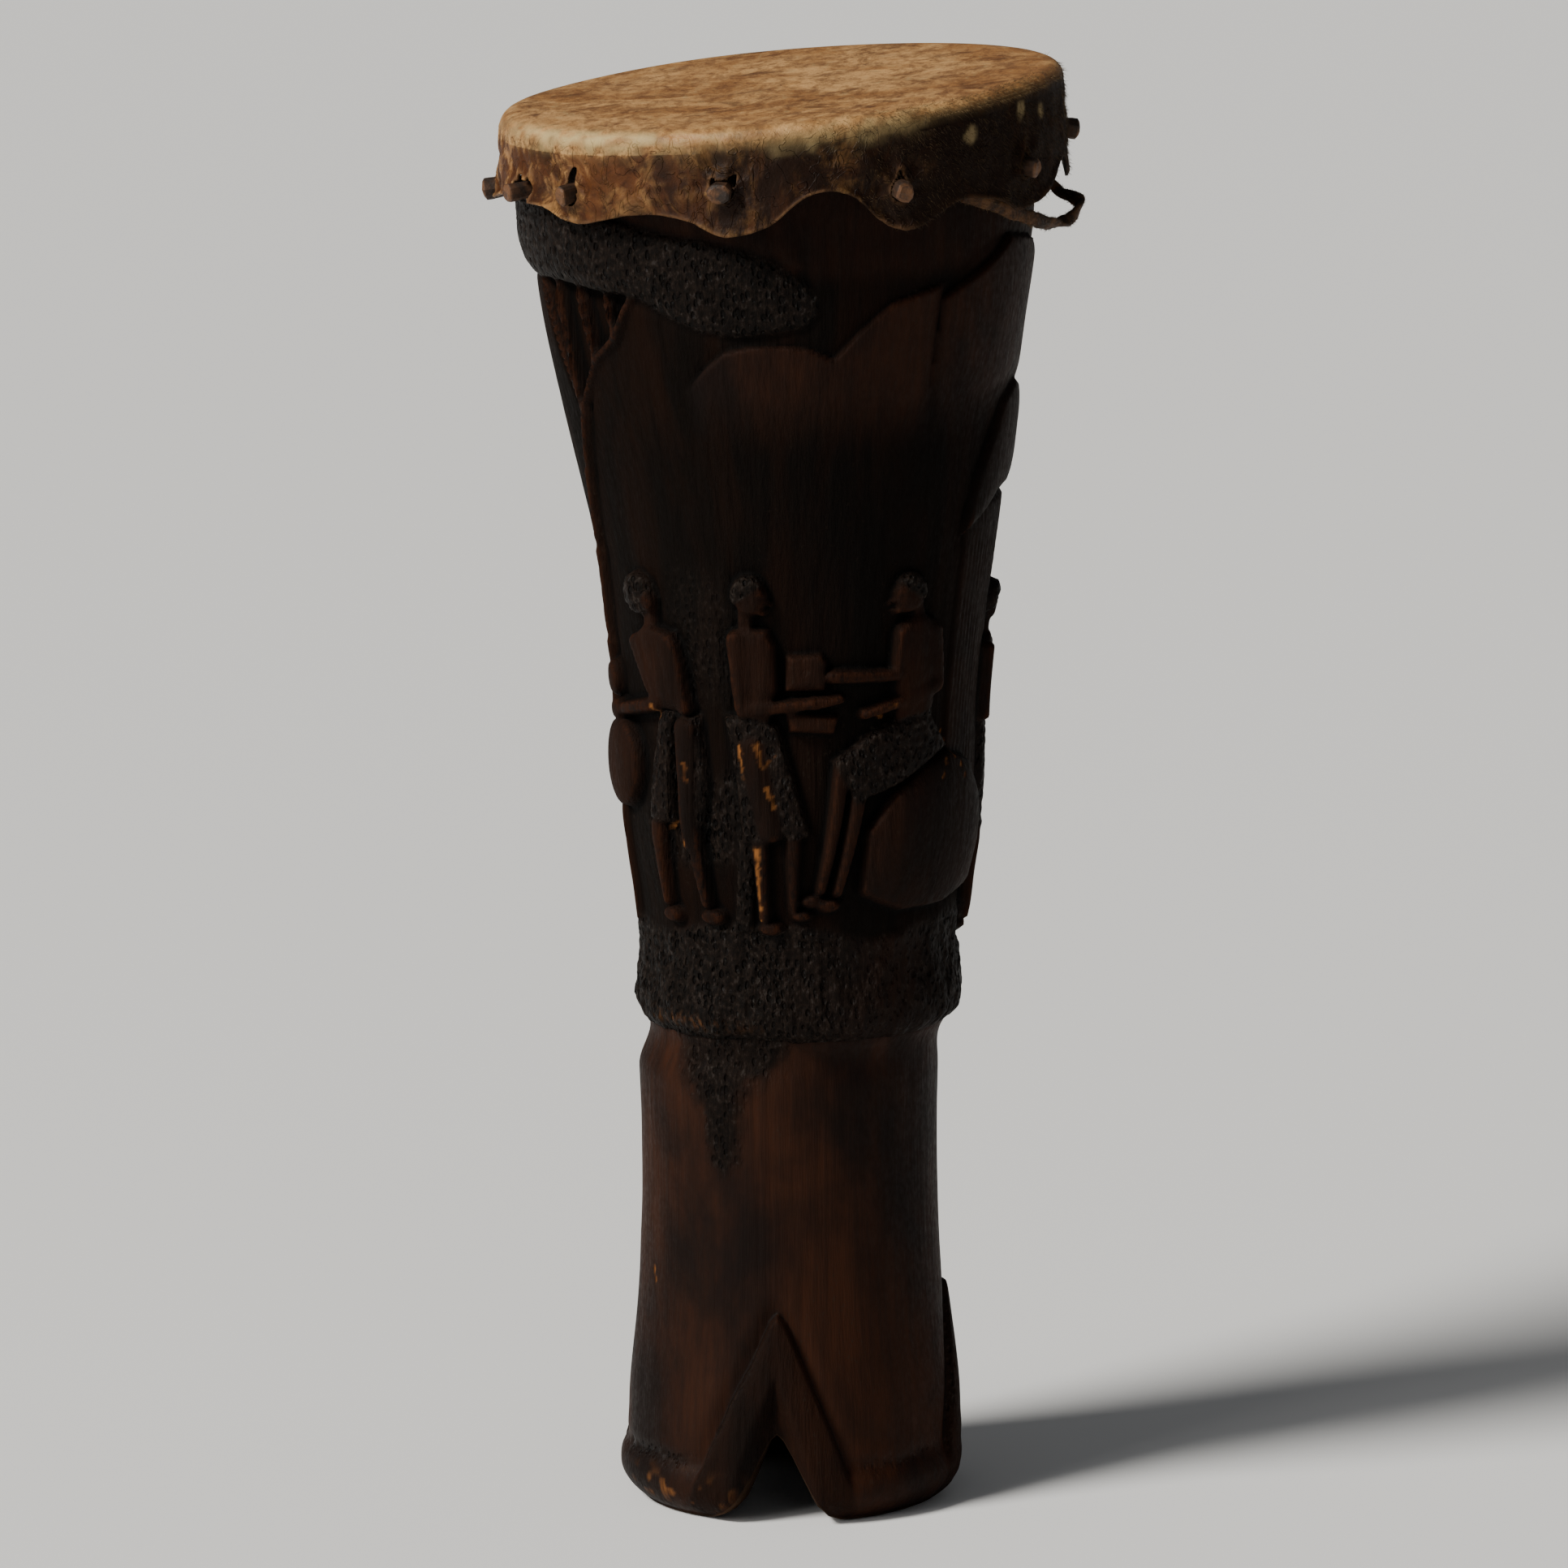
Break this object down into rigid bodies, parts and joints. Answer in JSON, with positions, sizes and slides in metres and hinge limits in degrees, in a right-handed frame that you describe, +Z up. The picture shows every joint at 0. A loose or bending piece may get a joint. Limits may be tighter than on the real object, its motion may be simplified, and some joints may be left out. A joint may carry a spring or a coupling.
{
  "type": "drum",
  "caption": "Tall footed carved-log drum with relief figures, a hide head held by wooden pegs through its skirt, and a hide strip loop at the side.",
  "frame": {"origin": "middle of the base, on the floor", "axes": "+Z up along the drum, -Y towards the carved front with the inverted V notch, +X towards the side with the hide loop, where the head is higher"},
  "size_m": [0.4097, 0.3968, 0.9916],
  "materials": {
    "carved_wood": "dark stained and waxed, worn",
    "hide": "dried rawhide, mottled, hair left on part of the skirt",
    "peg_wood": "whittled, unstained",
    "hide_strip": "twisted rawhide with hair"
  },
  "bodies": {
    "drum": {"shell": "carved_wood", "drumhead": "hide", "hide_strip": "hide_strip"},
    "peg_01": {"peg_01": "peg_wood"},
    "peg_02": {"peg_02": "peg_wood"},
    "peg_03": {"peg_03": "peg_wood"},
    "peg_04": {"peg_04": "peg_wood"},
    "peg_05": {"peg_05": "peg_wood"},
    "peg_06": {"peg_06": "peg_wood"},
    "peg_07": {"peg_07": "peg_wood"},
    "peg_08": {"peg_08": "peg_wood"},
    "peg_09": {"peg_09": "peg_wood"},
    "peg_10": {"peg_10": "peg_wood"},
    "peg_11": {"peg_11": "peg_wood"},
    "loop": {"carry_loop": "hide_strip"}
  },
  "joints": [
    {"name": "peg_01_pull", "type": "slide", "parent": "drum", "child": "peg_01", "axis": [-0.2059, -0.9686, -0.1392], "range_m": [0, 0.06]},
    {"name": "peg_02_pull", "type": "slide", "parent": "drum", "child": "peg_02", "axis": [0.4028, -0.9047, -0.1392], "range_m": [0, 0.06]},
    {"name": "peg_03_pull", "type": "slide", "parent": "drum", "child": "peg_03", "axis": [0.8398, -0.5248, -0.1392], "range_m": [0, 0.06]},
    {"name": "peg_04_pull", "type": "slide", "parent": "drum", "child": "peg_04", "axis": [0.9879, 0.0691, -0.1392], "range_m": [0, 0.06]},
    {"name": "peg_05_pull", "type": "slide", "parent": "drum", "child": "peg_05", "axis": [0.7696, 0.6232, -0.1392], "range_m": [0, 0.06]},
    {"name": "peg_06_pull", "type": "slide", "parent": "drum", "child": "peg_06", "axis": [0.2895, 0.947, -0.1392], "range_m": [0, 0.06]},
    {"name": "peg_07_pull", "type": "slide", "parent": "drum", "child": "peg_07", "axis": [-0.2895, 0.947, -0.1392], "range_m": [0, 0.06]},
    {"name": "peg_08_pull", "type": "slide", "parent": "drum", "child": "peg_08", "axis": [-0.7803, 0.6097, -0.1392], "range_m": [0, 0.06]},
    {"name": "peg_09_pull", "type": "slide", "parent": "drum", "child": "peg_09", "axis": [-0.9903, 0, -0.1392], "range_m": [0, 0.06]},
    {"name": "peg_10_pull", "type": "slide", "parent": "drum", "child": "peg_10", "axis": [-0.9047, -0.4028, -0.1392], "range_m": [0, 0.06]},
    {"name": "peg_11_pull", "type": "slide", "parent": "drum", "child": "peg_11", "axis": [-0.7242, -0.6754, -0.1392], "range_m": [0, 0.06]},
    {"name": "loop_swing", "type": "hinge", "parent": "drum", "child": "loop", "pos_m": [0.17725, -0.0343, 0.902], "axis": [0.1245, 0.9806, 0.1515], "range_deg": [-20, 30], "stiffness_Nm_per_rad": 0.05}
  ]
}
